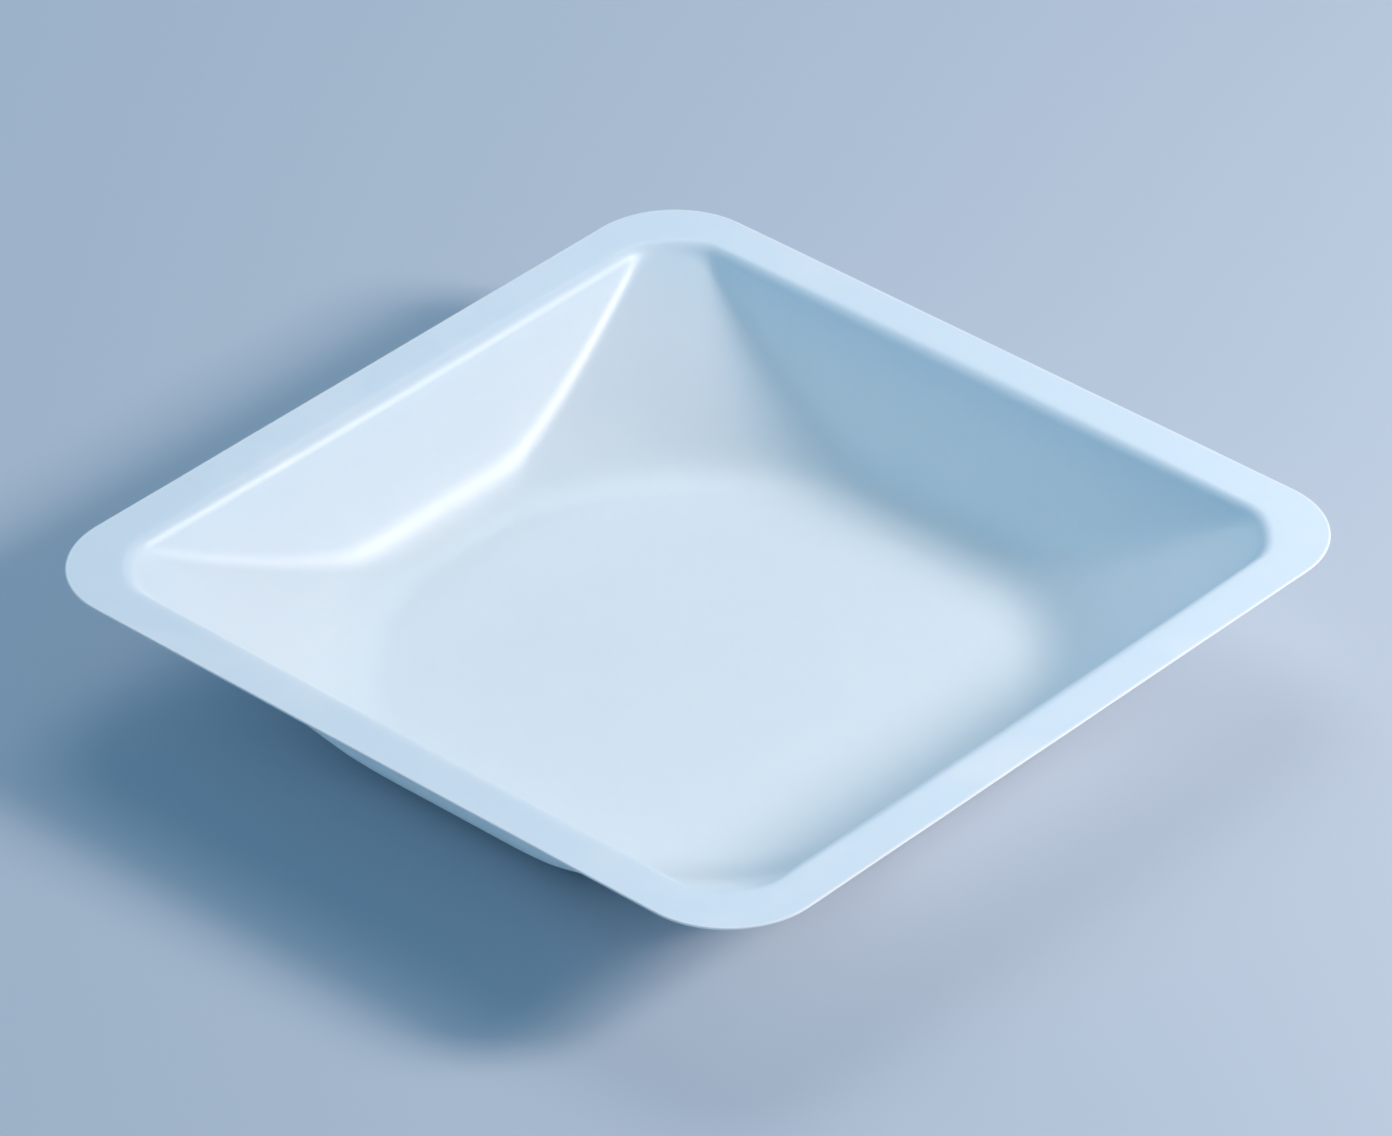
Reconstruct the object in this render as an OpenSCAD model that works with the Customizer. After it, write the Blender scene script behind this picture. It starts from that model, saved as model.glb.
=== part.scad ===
// Square weighing boat, thermoformed from one plastic sheet.
//
// A flat rim runs round the mouth. Inside it, four steep walls (a square, upturned pyramid) cut
// through a shallow round bowl. Each wall runs into the bowl in a curved crease, softened by a
// wide fillet, that rises to the corners. The bowl runs out into a flat base, which the boat
// stands on.
//
// The form is swept round the upright axis: one section for each direction, with a second skin
// one sheet thickness below the first. The origin is the middle of the base's underside, +Z up.

/* [Overall] */
// Width of the square rim, from edge to edge
rim_w = 140; // [110:1:180]
// Height from the table to the top of the rim
height = 22; // [17:0.5:28]
// Thickness of the plastic sheet
sheet = 0.3; // [0.2:0.05:0.6]

/* [Rim] */
// Width of the flat rim, from its cut edge to where it starts to turn down
flange_w = 6; // [4:0.5:12]
// Radius of the rim's outer corners
rim_corner_r = 15; // [8:0.5:25]
// Radius of the mouth's corners
mouth_corner_r = 9.5; // [4:0.5:12]
// Radius of the shoulder, where the rim turns down into the walls
shoulder_r = 3; // [1:0.1:4]

/* [Walls and bowl] */
// Lean of the four walls from upright, in degrees
wall_draft = 23; // [15:0.5:32]
// Rise of the bowl from level, in degrees
bowl_slope = 34; // [28:0.5:38]
// Depth of the bowl's edge below the rim, in the mouth's corners
corner_drop = 0.1; // [0:0.1:2]
// Radius of the crease between each wall and the bowl
crease_r = 10.5; // [3:0.5:13]
// Radius of the soft blend between the bowl and the flat base
base_blend_r = 18; // [14:1:60]

/* [Smoothness] */
// Sections along each half of a side
side_steps = 8; // [4:1:10]
// Sections round each half of a corner
corner_steps = 8; // [4:1:10]
// Facets across the shoulder and across the crease
fillet_steps = 5; // [3:1:6]
// Facets down the bowl
bowl_steps = 8; // [5:1:12]

/* [Hidden] */

rim_half = rim_w / 2;
floor_z = sheet;
shoulder_set_back = shoulder_r * tan((90 - wall_draft) / 2);
mouth_half = rim_half - flange_w - shoulder_set_back;

// Least straight wall between the shoulder and the crease: it is all that is left in the corners
least_wall = 0.3;
// Least angle that the crease turns through; a shoulder too big to leave it shrinks
least_turn = 4;
// The blend takes up at most this share of the bowl's foot, so that a flat base is left
blend_share = 0.9;
// The base's outline lies at most this share of the way out to a crease that comes down to it
base_share = 0.95;
// Facets crowd toward the flat base as this power rises above 1
crowding = 1.5;
// Halvings that place the crease on its section
halvings = 40;

// Distance from the axis to a square with rounded corners, in direction a
function reach(a, half, corner_r) =
    let (
        turn = a % 90,
        b = min(turn, 90 - turn),
        c = half - corner_r
    )
    tan(b) < c / half
        ? half / cos(b)
        : c * (cos(b) + sin(b)) + sqrt(corner_r * corner_r - c * c * (1 - sin(2 * b)));

// The bowl's edge circle passes through the mouth's corners
bowl_top_r = reach(45, mouth_half, mouth_corner_r) + corner_drop / tan(bowl_slope);
bowl_foot_r = bowl_top_r - (height - floor_z) / tan(bowl_slope);
blend_r = min(base_blend_r, blend_share * bowl_foot_r / tan(bowl_slope / 2));
flat_r = bowl_foot_r - blend_r * tan(bowl_slope / 2);

// Height of the middle of a ball of radius r that rests on the bowl; r = 0 gives the bowl itself
function bowl_z(rho, r = 0) =
    let (
        out = rho - flat_r,
        arc_r = blend_r - r,
        arc_out = arc_r * sin(bowl_slope)
    )
    floor_z + blend_r + (
        out <= 0 ? -arc_r
        : out < arc_out ? -sqrt(arc_r * arc_r - out * out)
        : -arc_r * cos(bowl_slope) + (out - arc_out) * tan(bowl_slope)
    );

// Slope of the bowl under that ball
function bowl_angle(rho, r = 0) =
    let (out = max(0, rho - flat_r))
    min(bowl_slope, asin(min(1, out / (blend_r - r))));

// Distance from the axis to the middle of a ball of radius r that touches the wall at height z
function wall_rho(mouth, lean, z, r = 0) = mouth - (height - z) * tan(lean) - r / cos(lean);

// Height at which a ball of radius r touches the wall and the bowl at once
function meeting_z(mouth, lean, r = 0, low = 0, high = 2 * height, left = halvings) =
    let (
        z = (low + high) / 2,
        below = bowl_z(wall_rho(mouth, lean, z, r), r) > z
    )
    left == 0 ? z : meeting_z(mouth, lean, r, below ? z : low, below ? high : z, left - 1);

function arc(centre, r, from, to, steps) =
    [for (i = [0:steps]) let (t = from + (to - from) * i / steps) centre + r * [cos(t), sin(t)]];

// Upper skin in direction a, as [distance from axis, height], from the rim's edge to the flat base.
// The shoulder and the crease are joined by the straight wall. Where the wall runs out, toward the
// corners, the shoulder moves out and the line between the two leans over to stay tangent to both.
function section(a) =
    let (
        rim = reach(a, rim_half, rim_corner_r),
        mouth = reach(a, mouth_half, mouth_corner_r),
        lean = atan(tan(wall_draft) * mouth / mouth_half),
        ball_z = meeting_z(mouth, lean, crease_r),
        ball_rho = wall_rho(mouth, lean, ball_z, crease_r),
        slope = bowl_angle(ball_rho, crease_r),
        furthest = 90 - slope - least_turn,
        room = crease_r * sin(furthest) - least_wall * cos(furthest) + height - ball_z,
        shoulder = min(shoulder_r, room / (1 - sin(furthest))),
        both = shoulder + crease_r,
        rise = ball_z - (height - shoulder),
        over = asin(max(-1, rise / norm([both, least_wall]))) + atan(least_wall / both),
        turn = max(lean, over),
        wall = (both * sin(turn) - rise) / cos(turn),
        shoulder_rho = ball_rho + both * cos(turn) + wall * sin(turn),
        landing = ball_rho + crease_r * sin(slope),
        foot = min(flat_r, base_share * landing)
    )
    concat(
        [[rim, height]],
        arc([shoulder_rho, height - shoulder], shoulder, 90, 180 - turn, fillet_steps),
        arc([ball_rho, ball_z], crease_r, -turn, slope - 90, fillet_steps),
        [
            for (i = [1:bowl_steps])
                let (rho = foot + (landing - foot) * pow(1 - i / bowl_steps, crowding))
                [rho, bowl_z(rho)]
        ]
    );

// Directions of the sections: even steps along each side, even turns round each corner
corner_start = min(atan(1 - rim_corner_r / rim_half), atan(1 - mouth_corner_r / mouth_half));
half_side = [for (i = [0:side_steps - 1]) atan(tan(corner_start) * i / side_steps)];
half_corner = [for (i = [0:corner_steps - 1]) corner_start + (45 - corner_start) * i / corner_steps];
eighth = concat(half_side, half_corner);
directions = [
    for (quarter = [0:90:270])
        each concat(
            [for (a = eighth) quarter + a],
            [quarter + 45],
            [for (i = [len(eighth) - 1:-1:1]) quarter + 90 - eighth[i]]
        )
];

sections = len(directions);
upper = [for (a = directions) [for (p = section(a)) [p[0] * cos(a), p[0] * sin(a), p[1]]]];
rings = len(upper[0]);

// Square to the upper skin at ring j of section i; level at the rim's edge and on the base
function skin_normal(i, j) =
    let (
        along = upper[(i + 1) % sections][j] - upper[(i + sections - 1) % sections][j],
        down = upper[i][min(j + 1, rings - 1)] - upper[i][max(j - 1, 0)],
        n = cross(along, down)
    )
    j == 0 || j == rings - 1 ? [0, 0, 1] : n / norm(n);

under = [for (i = [0:sections - 1]) [for (j = [0:rings - 1]) upper[i][j] - sheet * skin_normal(i, j)]];

// Faces of one skin: a net of triangles and a fan to its middle point
function skin_faces(first, middle) =
    [
        for (i = [0:sections - 1])
            let (
                here = first + i * rings,
                next = first + (i + 1) % sections * rings
            )
            each concat(
                [for (j = [0:rings - 2]) each [
                    [here + j, here + j + 1, next + j],
                    [next + j, here + j + 1, next + j + 1]
                ]],
                [[here + rings - 1, middle, next + rings - 1]]
            )
    ];

function reversed(faces) = [for (f = faces) [f[2], f[1], f[0]]];

module boat() {
    net = sections * rings;
    upper_middle = 2 * net;
    under_middle = upper_middle + 1;
    cut_edge = [
        for (i = [0:sections - 1])
            let (
                here = i * rings,
                next = (i + 1) % sections * rings
            )
            each [[here, next, here + net], [next, next + net, here + net]]
    ];
    color([0.87, 0.94, 0.98])
        polyhedron(
            points = concat(
                [for (s = upper) each s],
                [for (s = under) each s],
                [[0, 0, floor_z], [0, 0, 0]]
            ),
            faces = concat(
                skin_faces(0, upper_middle),
                reversed(skin_faces(net, under_middle)),
                cut_edge
            ),
            convexity = 6
        );
}

boat();
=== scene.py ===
"""A square weighing boat, drawn from one thin sheet of milky plastic, on a pale studio floor.

The boat's shape follows a rule, so Geometry Nodes sweep its section round the upright axis: a flat
rim, a shoulder, drafted walls, and a shallow round bowl that meets the walls in filleted creases.
All lengths are in metres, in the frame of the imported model: +Z is up, and the origin lies under the
middle of the base.
"""

import logging
import math
from dataclasses import dataclass, fields
from enum import Enum

import bpy
from mathutils import Matrix, Vector


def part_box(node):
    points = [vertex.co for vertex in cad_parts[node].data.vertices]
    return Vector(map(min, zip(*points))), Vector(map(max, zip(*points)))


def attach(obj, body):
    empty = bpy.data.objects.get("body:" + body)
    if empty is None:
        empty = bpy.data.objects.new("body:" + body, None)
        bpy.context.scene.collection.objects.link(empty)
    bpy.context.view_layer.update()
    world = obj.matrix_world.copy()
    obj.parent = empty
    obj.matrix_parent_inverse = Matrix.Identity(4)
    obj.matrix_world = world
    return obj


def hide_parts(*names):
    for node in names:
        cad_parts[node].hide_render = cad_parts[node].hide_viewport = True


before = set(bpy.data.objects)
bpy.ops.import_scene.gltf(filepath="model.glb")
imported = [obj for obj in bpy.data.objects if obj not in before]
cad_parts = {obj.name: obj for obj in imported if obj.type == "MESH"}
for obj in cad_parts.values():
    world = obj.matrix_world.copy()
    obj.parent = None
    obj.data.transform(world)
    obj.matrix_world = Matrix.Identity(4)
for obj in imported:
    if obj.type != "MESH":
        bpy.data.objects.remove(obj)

MM = 0.001
DEGREE = math.radians(1)
QUARTER_TURN = math.pi / 2
EIGHTH_TURN = QUARTER_TURN / 2
log = logging.getLogger("weighing_boat")

Colour = tuple[float, float, float]


# --- Formulas in node trees --------------------------------------------------------------------


class Op(Enum):
    """The operations of the Math nodes used here."""

    ADD = "ADD"
    SUBTRACT = "SUBTRACT"
    MULTIPLY = "MULTIPLY"
    DIVIDE = "DIVIDE"
    REMAINDER = "MODULO"
    ROUND_DOWN = "FLOOR"
    SMALLER = "MINIMUM"
    LARGER = "MAXIMUM"
    SIZE = "ABSOLUTE"
    ROOT = "SQRT"
    POWER = "POWER"
    SINE = "SINE"
    COSINE = "COSINE"
    TANGENT = "TANGENT"
    ARCSINE = "ARCSINE"
    ARCTANGENT = "ARCTANGENT"


class Value:
    """A number in a node tree. Sums on it add Math nodes, so that a formula reads as one."""

    def __init__(self, socket: bpy.types.NodeSocket) -> None:
        """Wraps a node's output socket."""
        self.socket = socket
        self.tree = socket.id_data

    def _math(self, op: Op, *numbers: "Value | float") -> "Value":
        """Adds one Math node to this number's tree.

        Args:
            op: what the node does.
            numbers: its inputs in order, as values in the tree or plain numbers.

        Returns:
            The node's result.
        """
        node = self.tree.nodes.new("ShaderNodeMath")
        node.operation = op.value
        for socket, number in zip(node.inputs, numbers):
            feed(socket, number)
        return Value(node.outputs["Value"])

    def __add__(self, other: "Value | float") -> "Value":
        """This and the other."""
        return self._math(Op.ADD, self, other)

    def __sub__(self, other: "Value | float") -> "Value":
        """This less the other."""
        return self._math(Op.SUBTRACT, self, other)

    def __rsub__(self, other: float) -> "Value":
        """The other less this."""
        return self._math(Op.SUBTRACT, other, self)

    def __mul__(self, other: "Value | float") -> "Value":
        """This times the other."""
        return self._math(Op.MULTIPLY, self, other)

    def __truediv__(self, other: "Value | float") -> "Value":
        """This over the other."""
        return self._math(Op.DIVIDE, self, other)

    def __rtruediv__(self, other: float) -> "Value":
        """The other over this."""
        return self._math(Op.DIVIDE, other, self)

    def __mod__(self, step: float) -> "Value":
        """What is left over after whole steps."""
        return self._math(Op.REMAINDER, self, step)

    def __abs__(self) -> "Value":
        """This without its sign."""
        return self._math(Op.SIZE, self)

    def floor(self) -> "Value":
        """This rounded down."""
        return self._math(Op.ROUND_DOWN, self)

    def sqrt(self) -> "Value":
        """Its square root."""
        return self._math(Op.ROOT, self)

    def __pow__(self, exponent: float) -> "Value":
        """This raised to a power."""
        return self._math(Op.POWER, self, exponent)

    def sin(self) -> "Value":
        """Its sine."""
        return self._math(Op.SINE, self)

    def cos(self) -> "Value":
        """Its cosine."""
        return self._math(Op.COSINE, self)

    def tan(self) -> "Value":
        """Its tangent."""
        return self._math(Op.TANGENT, self)

    def asin(self) -> "Value":
        """The angle that has this sine."""
        return self._math(Op.ARCSINE, self)

    def atan(self) -> "Value":
        """The angle that has this tangent."""
        return self._math(Op.ARCTANGENT, self)

    def at_most(self, limit: "Value | float") -> "Value":
        """This, or the limit where this is over it."""
        return self._math(Op.SMALLER, self, limit)

    def at_least(self, limit: "Value | float") -> "Value":
        """This, or the limit where this is under it."""
        return self._math(Op.LARGER, self, limit)

    def split(self, limit: "Value | float", below: "Value", above: "Value") -> "Value":
        """Chooses between two numbers, point by point.

        Args:
            limit: what this number is compared with.
            below: the result where this is under the limit.
            above: the result elsewhere.

        Returns:
            The chosen number.
        """
        compare = self.tree.nodes.new("FunctionNodeCompare")
        compare.operation = "LESS_THAN"
        feed(compare.inputs["A"], self)
        feed(compare.inputs["B"], limit)
        switch = self.tree.nodes.new("GeometryNodeSwitch")
        switch.input_type = "FLOAT"
        self.tree.links.new(compare.outputs["Result"], switch.inputs["Switch"])
        feed(switch.inputs["False"], above)
        feed(switch.inputs["True"], below)
        return Value(switch.outputs["Output"])


def feed(socket: bpy.types.NodeSocket, number: Value | float) -> None:
    """Links a value to a node's input, or sets that input to a plain number.

    Args:
        socket: the node's input.
        number: what it is given.
    """
    if isinstance(number, Value):
        number.tree.links.new(number.socket, socket)
    else:
        socket.default_value = number


# --- The boat's shape --------------------------------------------------------------------------


@dataclass(frozen=True)
class BoatSizes:
    """The driving dimensions of the boat, in metres and radians.

    Attributes:
        rim_width: the width of the square rim, from edge to edge.
        height: the height from the flat base to the top of the rim.
        sheet: the thickness of the plastic sheet.
        flange_width: the width of the flat rim, from its cut edge to where it starts to turn down.
        rim_corner_radius: the radius of the rim's outer corners.
        mouth_corner_radius: the radius of the mouth's corners.
        shoulder_radius: the radius of the shoulder, where the rim turns down into the walls.
        wall_draft: the lean of the four walls from upright.
        bowl_slope: the rise of the bowl from level.
        corner_drop: the depth of the bowl's edge below the rim, in the mouth's corners.
        crease_radius: the radius of the crease between a wall and the bowl.
        base_blend_radius: the radius of the blend between the bowl and the flat base.
        edge_round: how far the cut edge is rounded back where it meets the two skins.
        lip_width: the width of the strip of rim over which the cut edge's look fades out.
        ripple: how far the sheet strays up or down from its true form.
        ripple_length: the length of one ripple.
    """

    rim_width: float
    height: float
    sheet: float = 0.3 * MM
    flange_width: float = 6 * MM
    rim_corner_radius: float = 15 * MM
    mouth_corner_radius: float = 9.5 * MM
    shoulder_radius: float = 3 * MM
    wall_draft: float = 23 * DEGREE
    bowl_slope: float = 34 * DEGREE
    corner_drop: float = 0.1 * MM
    crease_radius: float = 10.5 * MM
    base_blend_radius: float = 18 * MM
    edge_round: float = 0.06 * MM
    lip_width: float = 0.5 * MM
    ripple: float = 0.06 * MM
    ripple_length: float = 22 * MM


class Stretch(Enum):
    """The stretches of the section in their order from the rim's edge to the axis."""

    LIP = 0
    FLANGE = 1
    SHOULDER = 2
    WALL = 3
    CREASE = 4
    BOWL = 5
    BASE = 6

    @property
    def faces(self) -> int:
        """How many faces lie along the stretch."""
        return (2, 5, 8, 7, 14, 30, 6)[self.value]

    @property
    def start(self) -> int:
        """The ring that the stretch starts at."""
        return sum(stretch.faces for stretch in Stretch if stretch.value < self.value)


class BoatTree:
    """The node tree that makes the boat's mesh from its sizes.

    Attributes:
        HALF_SIDES: how many half sides the square has, each with half a corner.
        SIDE_STEPS: how many faces lie along the straight part of a half side.
        CORNER_STEPS: how many lie round its half corner.
        EDGE_STEPS: how many lie across the cut edge.
        RIPPLE_DETAIL: how many finer layers the ripple has.
        LEAST_WALL: the least straight wall, which is all that is left of it in the corners.
        LEAST_TURN: the least angle that the crease turns through.
        BASE_SHARE: the most that the base takes of the way out to a crease that comes down to it.
        CROWDING: how the bowl's rings crowd toward the base, where 1 is evenly spaced.
        WELD: how near to each other points are when they get merged.
    """

    HALF_SIDES = 8
    SIDE_STEPS = 26
    CORNER_STEPS = 16
    EDGE_STEPS = 4
    RIPPLE_DETAIL = 1
    LEAST_WALL = 0.3 * MM
    LEAST_TURN = 4 * DEGREE
    BASE_SHARE = 0.95
    CROWDING = 1.5
    WELD = 0.001 * MM

    def __init__(self, sizes: BoatSizes, attribute: str) -> None:
        """Builds the whole tree.

        Args:
            sizes: the defaults of the tree's inputs, one for each field.
            attribute: the name of the attribute that marks the cut edge: 1 on it, 0 past the lip.
        """
        self.tree = bpy.data.node_groups.new("weighing_boat", "GeometryNodeTree")
        self.attribute = attribute
        for size in fields(sizes):
            socket = self._socket(self._label(size.name), "INPUT", "NodeSocketFloat")
            socket.default_value = getattr(sizes, size.name)
        self._socket("Plastic", "INPUT", "NodeSocketMaterial")
        self._socket("Mesh", "OUTPUT", "NodeSocketGeometry")
        self.inputs = self.tree.nodes.new("NodeGroupInput")
        self._derive()
        self._finish(self._weld(self._join(*self._skins(), self._cut_edge())))

    def _socket(self, name: str, way: str, kind: str) -> bpy.types.NodeTreeInterfaceSocket:
        """Adds one of the tree's own inputs or outputs."""
        return self.tree.interface.new_socket(name=name, in_out=way, socket_type=kind)

    @staticmethod
    def _label(name: str) -> str:
        """The label of the input for a size, from its field's name."""
        return name.replace("_", " ").capitalize()

    def _size(self, name: str) -> Value:
        """The tree's input for one of the sizes, by its field's name."""
        return Value(self.inputs.outputs[self._label(name)])

    def _derive(self) -> None:
        """Works out the shared measures: the mouth, the bowl's edge, its foot and its flat base."""
        draft, slope = self._size("wall_draft"), self._size("bowl_slope")
        self.height = self._size("height")
        self.sheet = self._size("sheet")
        self.slope = slope
        self.rim_half = self._size("rim_width") / 2
        set_back = self._size("shoulder_radius") * ((QUARTER_TURN - draft) / 2).tan()
        self.mouth_half = self.rim_half - self._size("flange_width") - set_back
        self.blend = self._size("base_blend_radius")
        diagonal = self._number(EIGHTH_TURN)
        mouth_corner = self._reach(diagonal, self.mouth_half, "mouth_corner_radius")
        edge = mouth_corner + self._size("corner_drop") / slope.tan()
        foot = edge - (self.height - self.sheet) / slope.tan()
        self.flat = foot - self.blend * (slope / 2).tan()

    def _number(self, number: float) -> Value:
        """Puts a plain number in the tree.

        Args:
            number: the number.

        Returns:
            The value that holds it.
        """
        node = self.tree.nodes.new("ShaderNodeValue")
        node.outputs["Value"].default_value = number
        return Value(node.outputs["Value"])

    def _reach(self, turn: Value, half: Value, corner: str) -> Value:
        """Distance from the axis to a square with rounded corners.

        Args:
            turn: the direction, as an angle of up to half a quarter turn from the middle of a side.
            half: half the square's width.
            corner: the name of the size that rounds its corners.

        Returns:
            The distance.
        """
        radius = self._size(corner)
        inset = half - radius
        side = half / turn.cos()
        across = inset * (turn.cos() + turn.sin())
        round_part = (radius * radius - inset * inset * (1 - (turn * 2).sin())).sqrt()
        return (turn.tan() * half).split(inset, side, across + round_part)

    def _bowl(self, rho: Value) -> Value:
        """Height of the bowl's upper skin: flat, then blend, then cone.

        Args:
            rho: the distance from the axis.

        Returns:
            The height there.
        """
        out = (rho - self.flat).at_least(0)
        blend_out = self.blend * self.slope.sin()
        on_blend = out.at_most(blend_out)
        rise = self.blend - (self.blend * self.blend - on_blend * on_blend).sqrt()
        return self.sheet + rise + (out - on_blend) * self.slope.tan()

    def _ball(self, mouth: Value, lean: Value, radius: Value) -> tuple[Value, Value, Value]:
        """Places a ball that touches the wall and the bowl at once.

        Measured from the middle of the blend's arc, the ball's middle lies on a line beside the
        wall, and on a flat, an arc and a line beside the bowl.

        Args:
            mouth: distance from the axis to the top of the wall, with its shoulder left out.
            lean: the wall's angle from upright in this section.
            radius: the ball's radius.

        Returns:
            The ball's distance from the axis, its height, and the bowl's angle under it.
        """
        arc = self.blend - radius
        top = self.height - self.sheet - self.blend
        slant = lean.tan()
        start = mouth - self.flat - top * slant - radius / lean.cos()
        arc_end = arc * self.slope.sin()
        on_cone = (start - slant * arc / self.slope.cos()) / (1 - slant * self.slope.tan())
        steep = slant * slant + 1
        on_arc = (start - slant * (steep * arc * arc - start * start).sqrt()) / steep
        on_flat = start - slant * arc
        out = on_cone.split(arc_end, on_arc.split(0, on_flat, on_arc), on_cone)
        rise = (out - start) / slant
        angle = (out.at_least(0).at_most(arc_end) / arc).asin()
        return self.flat + out, self.sheet + self.blend + rise, angle

    def _net(self, steps: int) -> tuple[bpy.types.NodeSocket, Value, Value]:
        """Makes a flat net of faces to be bent into shape.

        Args:
            steps: how many faces it has from one end of a section to the other.

        Returns:
            The net, and for each of its points the number of its section and of its ring.
        """
        grid = self.tree.nodes.new("GeometryNodeMeshGrid")
        sections = self.HALF_SIDES * (self.SIDE_STEPS + self.CORNER_STEPS)
        grid.inputs["Vertices X"].default_value = sections + 1
        grid.inputs["Vertices Y"].default_value = steps + 1
        index = Value(self.tree.nodes.new("GeometryNodeInputIndex").outputs["Index"])
        return grid.outputs["Mesh"], (index / (steps + 1)).floor(), index % (steps + 1)

    def _turn(self, section: Value) -> tuple[Value, Value]:
        """Turns a section's number into its direction.

        The sections stand in even steps along a side, and at even turns round a corner.

        Args:
            section: the section's number, counted round the boat.

        Returns:
            The direction, and its angle from the middle of the nearest side.
        """
        half = self.SIDE_STEPS + self.CORNER_STEPS
        corner_start = (1 - self._size("rim_corner_radius") / self.rim_half).atan()
        in_quarter = section % (2 * half)
        step = half - abs(in_quarter - half)
        along = (corner_start.tan() * step / self.SIDE_STEPS).atan()
        past_start = (EIGHTH_TURN - corner_start) * (step - self.SIDE_STEPS) / self.CORNER_STEPS
        rounding = corner_start + past_start
        aside = step.split(self.SIDE_STEPS, along, rounding)
        in_turn = in_quarter.split(half, aside, QUARTER_TURN - aside)
        return (section / (2 * half)).floor() * QUARTER_TURN + in_turn, aside

    def _place(
        self, mesh: bpy.types.NodeSocket, turn: Value, rho: Value, z: Value
    ) -> bpy.types.NodeSocket:
        """Moves a net's points to their places.

        Args:
            mesh: the net.
            turn: each point's direction.
            rho: its distance from the axis.
            z: its height.

        Returns:
            The bent net.
        """
        place = self._add("GeometryNodeSetPosition", Geometry=mesh)
        point = self._add("ShaderNodeCombineXYZ")
        for axis, number in zip("XYZ", (rho * turn.cos(), rho * turn.sin(), z)):
            feed(point.inputs[axis], number)
        self.tree.links.new(point.outputs["Vector"], place.inputs["Position"])
        return place.outputs["Geometry"]

    def _along(self, ring: Value, stretch: Stretch) -> Value:
        """How much of a stretch lies behind a ring, from 0 to 1."""
        return ((ring - stretch.start) / stretch.faces).at_least(0).at_most(1)

    def _upper_skin(self) -> bpy.types.NodeSocket:
        """Makes the skin that faces up, from the rim's edge to the axis.

        Returns:
            The skin, closed round the axis.
        """
        steps = sum(stretch.faces for stretch in Stretch)
        net, section, ring = self._net(steps)
        turn, aside = self._turn(section)
        passed = {stretch: self._along(ring, stretch) for stretch in Stretch}

        rim = self._reach(aside, self.rim_half, "rim_corner_radius") - self._size("edge_round")
        mouth = self._reach(aside, self.mouth_half, "mouth_corner_radius")
        lean = (self._size("wall_draft").tan() * mouth / self.mouth_half).atan()
        crease = self._size("crease_radius")
        ball_rho, ball_z, angle = self._ball(mouth, lean, crease)

        furthest = QUARTER_TURN - angle - self.LEAST_TURN
        room = crease * furthest.sin() - furthest.cos() * self.LEAST_WALL + self.height - ball_z
        shoulder = self._size("shoulder_radius").at_most(room / (1 - furthest.sin()))
        both = shoulder + crease
        rise = ball_z - self.height + shoulder
        apart = (both * both + self.LEAST_WALL**2).sqrt()
        over = (rise / apart).at_least(-1).asin() + (self.LEAST_WALL / both).atan()
        tilt = lean.at_least(over)
        wall = (both * tilt.sin() - rise) / tilt.cos()

        shoulder_rho = ball_rho + both * tilt.cos() + wall * tilt.sin()
        shoulder_at = (QUARTER_TURN - tilt) * passed[Stretch.SHOULDER] + QUARTER_TURN
        down_wall = wall * passed[Stretch.WALL]
        crease_at = (tilt + angle - QUARTER_TURN) * passed[Stretch.CREASE] - tilt
        landing = ball_rho + crease * angle.sin()
        base_edge = self.flat.at_most(landing * self.BASE_SHARE)
        down_bowl = 1 - (1 - passed[Stretch.BOWL]) ** self.CROWDING
        lip = self._size("lip_width")
        rho = (
            rim
            - lip * passed[Stretch.LIP]
            + (shoulder_rho - rim + lip) * passed[Stretch.FLANGE]
            + shoulder * shoulder_at.cos()
            - down_wall * tilt.sin()
            + crease * (crease_at.cos() - tilt.cos())
            + (base_edge - landing) * down_bowl
            - base_edge * passed[Stretch.BASE]
        )
        side_z = (
            self.height
            + shoulder * (shoulder_at.sin() - 1)
            - down_wall * tilt.cos()
            + crease * (crease_at.sin() + tilt.sin())
        )
        past_crease = Stretch.BOWL.start + 0.5
        z = ring.split(past_crease, side_z, self._bowl(rho))
        marked = self._mark(net, 1 - passed[Stretch.LIP])
        return self._weld(self._place(marked, turn, rho, z))

    def _skins(self) -> tuple[bpy.types.NodeSocket, bpy.types.NodeSocket]:
        """Makes both skins.

        Returns:
            The upper skin, and the under skin one sheet thickness square to it.
        """
        upper = self._upper_skin()
        normal = self._add("GeometryNodeInputNormal")
        through = self._add("ShaderNodeVectorMath", Vector=normal.outputs["Normal"])
        through.operation = "SCALE"
        feed(through.inputs["Scale"], self.sheet * -1)
        down = through.outputs["Vector"]
        lower = self._add("GeometryNodeSetPosition", Geometry=upper, Offset=down)
        under = self._add("GeometryNodeFlipFaces", Mesh=lower.outputs["Geometry"])
        return upper, under.outputs["Mesh"]

    def _cut_edge(self) -> bpy.types.NodeSocket:
        """Closes the gap between the skins round the rim.

        Returns:
            The band between them, a little rounded as a cut sheet is.
        """
        net, section, ring = self._net(self.EDGE_STEPS)
        turn, aside = self._turn(section)
        rise = ring / self.EDGE_STEPS
        swell = (rise * math.pi).sin() - 1
        rim = self._reach(aside, self.rim_half, "rim_corner_radius")
        rho = rim + self._size("edge_round") * swell
        z = self.height - self.sheet * (1 - rise)
        return self._place(self._mark(net, self._number(1)), turn, rho, z)

    def _mark(self, mesh: bpy.types.NodeSocket, amount: Value) -> bpy.types.NodeSocket:
        """Stores on a mesh's points how near they are to the cut edge.

        Args:
            mesh: the mesh.
            amount: 1 on the cut edge, down to 0 past the lip.

        Returns:
            The marked mesh.
        """
        store = self._add("GeometryNodeStoreNamedAttribute", Geometry=mesh)
        store.inputs["Name"].default_value = self.attribute
        feed(store.inputs["Value"], amount)
        return store.outputs["Geometry"]

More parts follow.
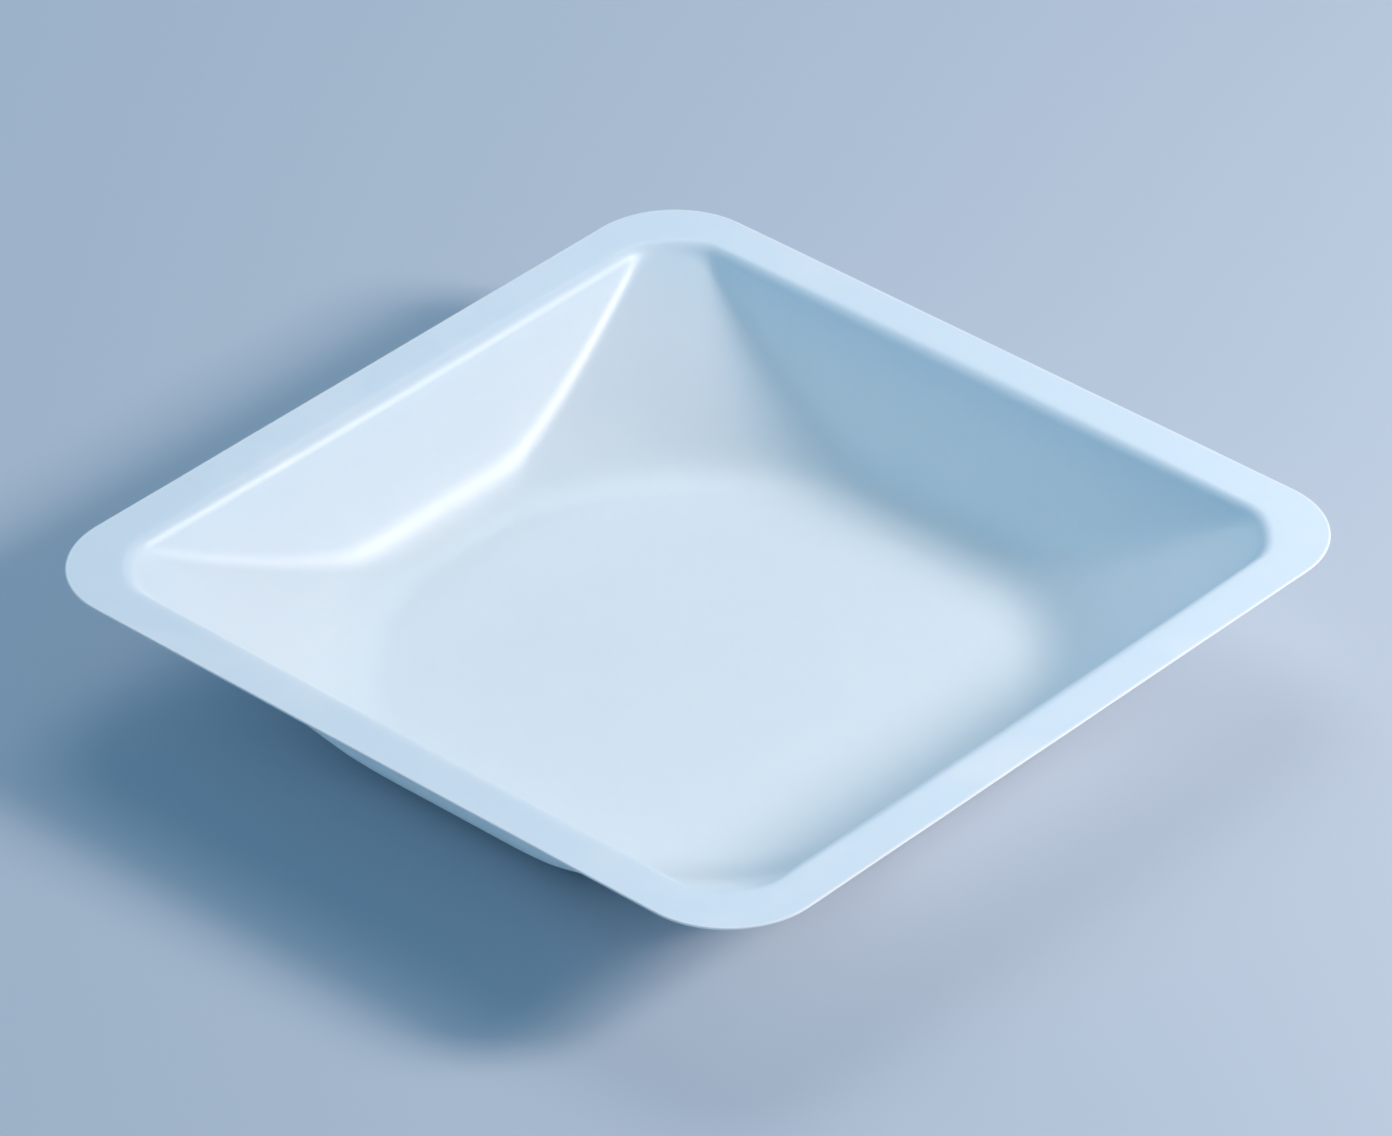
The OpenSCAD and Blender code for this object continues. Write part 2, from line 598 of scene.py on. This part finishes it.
    def _join(self, *meshes: bpy.types.NodeSocket) -> bpy.types.NodeSocket:
        """Puts meshes together in one.

        Args:
            meshes: the meshes.

        Returns:
            All of them in one.
        """
        join = self.tree.nodes.new("GeometryNodeJoinGeometry")
        for mesh in meshes:
            self.tree.links.new(mesh, join.inputs["Geometry"])
        return join.outputs["Geometry"]

    def _weld(self, mesh: bpy.types.NodeSocket) -> bpy.types.NodeSocket:
        """Closes seams and the pole, by merging points that lie together.

        Args:
            mesh: the mesh.

        Returns:
            The closed mesh.
        """
        weld = self._add("GeometryNodeMergeByDistance", Geometry=mesh)
        weld.inputs["Distance"].default_value = self.WELD
        return weld.outputs["Geometry"]

    def _finish(self, mesh: bpy.types.NodeSocket) -> None:
        """Ends the tree: the sheet's slight ripple, smooth shading and the plastic.

        Args:
            mesh: the boat's closed mesh.
        """
        position = self._add("GeometryNodeInputPosition").outputs["Position"]
        parts = self._add("ShaderNodeSeparateXYZ", Vector=position)
        plan = self._add("ShaderNodeCombineXYZ", X=parts.outputs["X"], Y=parts.outputs["Y"])
        noise = self._add("ShaderNodeTexNoise", Vector=plan.outputs["Vector"])
        noise.inputs["Detail"].default_value = self.RIPPLE_DETAIL
        feed(noise.inputs["Scale"], 1 / self._size("ripple_length"))
        above_base = (Value(parts.outputs["Z"]) / self.height).at_least(0)
        up_or_down = (Value(noise.outputs["Fac"]) - 0.5) * 2
        lift = up_or_down * self._size("ripple") * above_base
        node = self._add("ShaderNodeCombineXYZ")
        feed(node.inputs["Z"], lift)
        offset = node.outputs["Vector"]
        rippled = self._add("GeometryNodeSetPosition", Geometry=mesh, Offset=offset)
        smooth = self._add("GeometryNodeSetShadeSmooth", Geometry=rippled.outputs["Geometry"])
        real = self._add("GeometryNodeRealizeInstances", Geometry=smooth.outputs["Geometry"])
        dressed = self._add(
            "GeometryNodeSetMaterial",
            Geometry=real.outputs["Geometry"],
            Material=self.inputs.outputs["Plastic"],
        )
        self._add("NodeGroupOutput", Mesh=dressed.outputs["Geometry"])

    def _add(self, kind: str, **links: bpy.types.NodeSocket) -> bpy.types.Node:
        """Adds a node.

        Args:
            kind: the node's type.
            links: for each input that is linked, its name and the output that feeds it.

        Returns:
            The new node.
        """
        node = self.tree.nodes.new(kind)
        for name, output in links.items():
            self.tree.links.new(output, node.inputs[name])
        return node


# --- Finishes ----------------------------------------------------------------------------------


@dataclass(frozen=True)
class MilkyPolystyrene:
    """Thin white-filled polystyrene sheet: satin, milky and faintly cloudy, with painted shade
    darkening the rim and painted light making the sheet below it paler.

    Attributes:
        cut_colour: the colour of the cut edge.
        rim_painted_shade_colour: the colour of the rim, which isn't drawn, made darker by painted
            shade.
        lower_painted_light_colour: the colour that the sheet turns to below the rim, made paler by
            painted light.
        sheet_stop: where the rim's colour stands between the cut edge's, at 0, and the lower one, at
            1.
        cut_shift: how far toward 0 the cut edge moves the colour.
        painted_light_shift: how far toward 1 the painted light below the rim moves it.
        cloud_shift: how far the clouds move it either way.
        below_rim_within: the share of the height, from the rim down, over which the painted light and
            the drawn sheet's smoothness build up.
        index: the index of refraction.
        gloss: the strength of reflections, 0.5 for what the index gives.
        satin: the roughness of the rim.
        drawn_satin: how much smoother the drawn sheet is.
        cloud_satin: how much the clouds change the roughness.
        grain_satin: how much the grain changes it.
        glow: how much of the light goes into the sheet.
        glow_depth: how deep it goes.
        glow_reach: how deep its red, green and blue go beside that.
        wall_glow: how much deeper it goes halfway up the walls, as a share.
        cloud_length: the width of the largest clouds.
        cloud_detail: how many finer layers the clouds have.
        grain_length: the width of the coarsest grain.
        grain_detail: how many finer layers the grain has.
        grain_depth: how deep the grain is.
        grain_strength: how far it turns the surface.
    """

    cut_colour: Colour = (0.90, 0.95, 0.98)
    # The rim's colour is darker as painted shade, and the lower colour is paler as painted light.
    rim_painted_shade_colour: Colour = (0.745, 0.845, 0.915)
    lower_painted_light_colour: Colour = (0.83, 0.93, 0.985)
    sheet_stop: float = 0.3
    cut_shift: float = 0.5
    painted_light_shift: float = 0.4
    cloud_shift: float = 0.5
    below_rim_within: float = 0.35
    index: float = 1.59
    gloss: float = 0.65
    satin: float = 0.47
    drawn_satin: float = 0.04
    cloud_satin: float = 0.08
    grain_satin: float = 0.10
    glow: float = 0.65
    glow_depth: float = 0.5 * MM
    glow_reach: tuple[float, float, float] = (0.8, 1.0, 1.2)
    wall_glow: float = 1.0
    cloud_length: float = 18 * MM
    cloud_detail: float = 2
    grain_length: float = 0.35 * MM
    grain_detail: float = 3
    grain_depth: float = 0.02 * MM
    grain_strength: float = 0.25

    def material(self, attribute: str, height: float) -> bpy.types.Material:
        """Makes the material.

        Args:
            attribute: the name of the attribute that marks the cut edge.
            height: the boat's height, from its flat base to the rim.

        Returns:
            The material.
        """
        material = bpy.data.materials.new("milky_polystyrene")
        material.use_nodes = True
        tree = material.node_tree
        shader = tree.nodes["Principled BSDF"]
        shader.inputs["IOR"].default_value = self.index
        shader.inputs["Specular IOR Level"].default_value = self.gloss
        shader.inputs["Subsurface Weight"].default_value = self.glow
        shader.inputs["Subsurface Radius"].default_value = self.glow_reach

        place = tree.nodes.new("ShaderNodeTexCoord").outputs["Object"]
        parts = tree.nodes.new("ShaderNodeSeparateXYZ")
        tree.links.new(place, parts.inputs["Vector"])
        rise = Value(parts.outputs["Z"]) / height
        # drawn runs from 0 at the rim to 1 lower down. It moves the colour from the rim's painted
        # shade to the painted light of the walls and base, and it smooths the drawn sheet.
        drawn = ((1 - rise) / self.below_rim_within).at_most(1)
        mid_wall = rise * (1 - rise) * 4
        cloud = self._noise(tree, place, self.cloud_length, self.cloud_detail)
        grain = self._noise(tree, place, self.grain_length, self.grain_detail)
        edge = tree.nodes.new("ShaderNodeAttribute")
        edge.attribute_name = attribute
        cut = Value(edge.outputs["Fac"])

        # The ramp holds the whitened cut edge, the rim darkened by painted shade, and the walls and
        # base lightened by painted light. The clouds vary the tone at random.
        ramp = tree.nodes.new("ShaderNodeValToRGB")
        stops = ramp.color_ramp.elements
        stops[0].color = (*self.cut_colour, 1)
        stops[1].color = (*self.lower_painted_light_colour, 1)
        stops.new(self.sheet_stop).color = (*self.rim_painted_shade_colour, 1)
        shift = drawn * self.painted_light_shift + cloud * self.cloud_shift
        feed(ramp.inputs["Fac"], shift + self.sheet_stop - cut * self.cut_shift)
        tree.links.new(ramp.outputs["Color"], shader.inputs["Base Color"])
        feed(shader.inputs["Subsurface Scale"], (mid_wall * self.wall_glow + 1) * self.glow_depth)
        uneven = grain * self.grain_satin + cloud * self.cloud_satin
        feed(shader.inputs["Roughness"], uneven - drawn * self.drawn_satin + self.satin)

        bump = tree.nodes.new("ShaderNodeBump")
        bump.inputs["Strength"].default_value = self.grain_strength
        bump.inputs["Distance"].default_value = self.grain_depth
        feed(bump.inputs["Height"], grain)
        tree.links.new(bump.outputs["Normal"], shader.inputs["Normal"])
        return material

    @staticmethod
    def _noise(
        tree: bpy.types.NodeTree, place: bpy.types.NodeSocket, length: float, detail: float
    ) -> Value:
        """Noise about zero.

        Args:
            tree: the material's nodes.
            place: the coordinates it is laid on.
            length: the width of its largest patches.
            detail: how many finer layers it has.

        Returns:
            The noise, from about -0.5 to 0.5.
        """
        noise = tree.nodes.new("ShaderNodeTexNoise")
        tree.links.new(place, noise.inputs["Vector"])
        noise.inputs["Scale"].default_value = 1 / length
        noise.inputs["Detail"].default_value = detail
        return Value(noise.outputs["Fac"]) - 0.5


@dataclass(frozen=True)
class PaleCard:
    """The matt card that the studio's floor is made of.

    Attributes:
        colour: its colour.
        roughness: its roughness, where 1 is fully matt.
        gloss: the strength of its reflections.
    """

    colour: Colour = (0.62, 0.67, 0.73)
    roughness: float = 0.9
    gloss: float = 0.1

    def material(self) -> bpy.types.Material:
        """Makes the material.

        Returns:
            The material.
        """
        material = bpy.data.materials.new("pale_card")
        material.use_nodes = True
        shader = material.node_tree.nodes["Principled BSDF"]
        shader.inputs["Base Color"].default_value = (*self.colour, 1)
        shader.inputs["Roughness"].default_value = self.roughness
        shader.inputs["Specular IOR Level"].default_value = self.gloss
        return material


# --- The piece ---------------------------------------------------------------------------------


@dataclass
class WeighingBoat:
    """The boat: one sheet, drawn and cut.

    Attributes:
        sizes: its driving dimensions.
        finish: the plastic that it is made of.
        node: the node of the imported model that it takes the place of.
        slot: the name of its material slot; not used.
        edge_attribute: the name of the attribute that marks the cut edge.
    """

    sizes: BoatSizes
    finish: MilkyPolystyrene = MilkyPolystyrene()
    node: str = "boat"
    slot: str = "boat"
    edge_attribute: str = "cut_edge"

    @classmethod
    def from_frame(cls, node: str) -> "WeighingBoat":
        """Takes the boat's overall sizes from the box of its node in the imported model."""
        low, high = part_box(node)
        return cls(BoatSizes(rim_width=high.x - low.x, height=high.z - low.z), node=node)

    def build(self) -> bpy.types.Object:
        """Makes the boat's mesh with its node tree, as a plain mesh on the root body.

        Returns:
            The finished piece.
        """
        tree = BoatTree(self.sizes, self.edge_attribute).tree
        maker = bpy.data.objects.new("boat_maker", bpy.data.meshes.new("boat_maker"))
        bpy.context.scene.collection.objects.link(maker)
        sweep = maker.modifiers.new("sweep", "NODES")
        sweep.node_group = tree
        plastic = self.finish.material(self.edge_attribute, self.sizes.height)
        for socket in tree.interface.items_tree:
            if socket.name == "Plastic":
                sweep[socket.identifier] = plastic
        evaluated = maker.evaluated_get(bpy.context.evaluated_depsgraph_get())
        mesh = bpy.data.meshes.new_from_object(evaluated)
        bpy.data.objects.remove(maker)
        mesh.name = "weighing_boat"
        piece = bpy.data.objects.new("weighing_boat", mesh)
        bpy.context.scene.collection.objects.link(piece)
        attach(piece, "root")
        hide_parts(self.node)
        return piece


# --- The studio --------------------------------------------------------------------------------


def outward(azimuth: float, elevation: float) -> Vector:
    """The direction of a camera or lamp seen from the object.

    Args:
        azimuth: its angle round the object in degrees, 0 from the front (-Y) and 90 from +X.
        elevation: its angle above the floor, in degrees.

    Returns:
        The unit vector towards it.
    """
    turn, rise = math.radians(azimuth), math.radians(elevation)
    level = math.cos(rise)
    return Vector((math.sin(turn) * level, -math.cos(turn) * level, math.sin(rise)))


@dataclass(frozen=True)
class SoftBox:
    """A square lamp that faces the object.

    Attributes:
        name: what it is called.
        azimuth: its angle round the object in degrees, 0 from the front (-Y) and 90 from +X.
        elevation: its angle above the floor, in degrees.
        distance: how far from the object it hangs.
        width: the width of its face.
        watts: its power.
        colour: the colour of its light.
    """

    name: str
    azimuth: float
    elevation: float
    distance: float
    width: float
    watts: float
    colour: Colour

    def build(self) -> None:
        """Hangs the lamp in its place."""
        light = bpy.data.lights.new(self.name, "AREA")
        light.size, light.energy, light.color = self.width, self.watts, self.colour
        lamp = bpy.data.objects.new(self.name, light)
        back = outward(self.azimuth, self.elevation)
        lamp.location = back * self.distance
        lamp.rotation_euler = back.to_track_quat("Z", "Y").to_euler()
        bpy.context.scene.collection.objects.link(lamp)


@dataclass(frozen=True)
class Camera:
    """The camera, looking down on the boat with one corner towards it.

    Attributes:
        azimuth: its angle round the object in degrees, 0 from the front (-Y) and 90 from +X.
        elevation: its angle above the floor, in degrees.
        roll: how far it is turned about its line of sight, in degrees.
        distance: how far it stands from the point that it aims at.
        lens: its focal length, in millimetres.
        sensor: the width of its sensor, in millimetres.
        near: the least distance at which it sees anything.
        far: the greatest distance at which it does.
        aside: how far in X and in Y the point that it aims at lies from the boat's axis.
    """

    azimuth: float = 42.27
    elevation: float = 34.64
    roll: float = -0.27
    distance: float = 1.3141
    lens: float = 232.8
    sensor: float = 36
    near: float = 0.05
    far: float = 20
    aside: tuple[float, float] = (3.06 * MM, -4.10 * MM)

    def build(self, rim_height: float) -> None:
        """Sets up the camera and makes it the scene's own.

        Args:
            rim_height: the height of the plane that it aims at.
        """
        lens = bpy.data.cameras.new("camera")
        lens.lens, lens.sensor_width, lens.sensor_fit = self.lens, self.sensor, "HORIZONTAL"
        lens.clip_start, lens.clip_end = self.near, self.far
        camera = bpy.data.objects.new("camera", lens)
        back = outward(self.azimuth, self.elevation)
        level = back.to_track_quat("Z", "Y").to_matrix().to_4x4()
        aim = Matrix.Translation(Vector((*self.aside, rim_height)) + back * self.distance)
        camera.matrix_world = aim @ level @ Matrix.Rotation(math.radians(self.roll), 4, "Z")
        bpy.context.scene.collection.objects.link(camera)
        bpy.context.scene.camera = camera


@dataclass(frozen=True)
class Studio:
    """A pale floor under soft light.

    Attributes:
        floor_width: the width of the square floor.
        floor_gap: how far under the boat's base it lies.
        card: what it is made of.
        sky_colour: the colour of the light that comes from all round.
        sky_strength: the strength of that light.
        backdrop_colour: what the camera and the reflections see behind everything.
        lamps: the lamps round the object.
    """

    floor_width: float = 6
    floor_gap: float = 0.02 * MM
    card: PaleCard = PaleCard()
    sky_colour: Colour = (0.32, 0.67, 1.0)
    sky_strength: float = 0.37
    backdrop_colour: Colour = (0.80, 0.86, 0.92)
    lamps: tuple[SoftBox, ...] = (
        SoftBox("key", 124, 33, 0.7, 0.16, 3.55, (1.0, 0.89, 0.85)),
        SoftBox("side", 300, 28, 1.2, 0.8, 1.2, (0.30, 0.72, 1.0)),
        SoftBox("back", 221, 49, 1.4, 0.8, 5.0, (0.79, 0.80, 0.85)),
    )

    def build(self) -> None:
        """Lays the floor, lights the lamps and sets the view's colours."""
        self._floor()
        self._sky()
        for lamp in self.lamps:
            lamp.build()
            log.info("lamp %s: %.1f W", lamp.name, lamp.watts)
        bpy.context.scene.view_settings.view_transform = "Standard"

    def _floor(self) -> None:
        """Lays the floor a hair under the boat's base."""
        half = self.floor_width / 2
        mesh = bpy.data.meshes.new("floor")
        corners = [(-half, -half), (half, -half), (half, half), (-half, half)]
        mesh.from_pydata([(x, y, -self.floor_gap) for x, y in corners], [], [(0, 1, 2, 3)])
        mesh.materials.append(self.card.material())
        floor = bpy.data.objects.new("floor", mesh)
        bpy.context.scene.collection.objects.link(floor)

    def _sky(self) -> None:
        """Fills the room with soft light, before a pale backdrop for camera and reflections."""
        world = bpy.data.worlds.new("studio")
        world.use_nodes = True
        bpy.context.scene.world = world
        tree = world.node_tree
        fill = tree.nodes["Background"]
        fill.inputs["Color"].default_value = (*self.sky_colour, 1)
        fill.inputs["Strength"].default_value = self.sky_strength
        backdrop = tree.nodes.new("ShaderNodeBackground")
        backdrop.inputs["Color"].default_value = (*self.backdrop_colour, 1)
        ray = tree.nodes.new("ShaderNodeLightPath")
        mix = tree.nodes.new("ShaderNodeMixShader")
        camera, glossy, through = (
            Value(ray.outputs[f"Is {kind} Ray"]) for kind in ("Camera", "Glossy", "Transmission")
        )
        feed(mix.inputs["Fac"], camera.at_least(glossy).at_least(through))
        tree.links.new(fill.outputs["Background"], mix.inputs[1])
        tree.links.new(backdrop.outputs["Background"], mix.inputs[2])
        tree.links.new(mix.outputs["Shader"], tree.nodes["World Output"].inputs["Surface"])


def main() -> None:
    """Builds the boat and the studio round it."""
    logging.basicConfig(level=logging.INFO, format="%(name)s: %(message)s")
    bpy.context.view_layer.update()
    boat = WeighingBoat.from_frame("boat")
    piece = boat.build()
    log.info("%s: %d faces", piece.name, len(piece.data.polygons))
    Studio().build()
    Camera().build(boat.sizes.height)


if __name__ == "__main__":
    main()
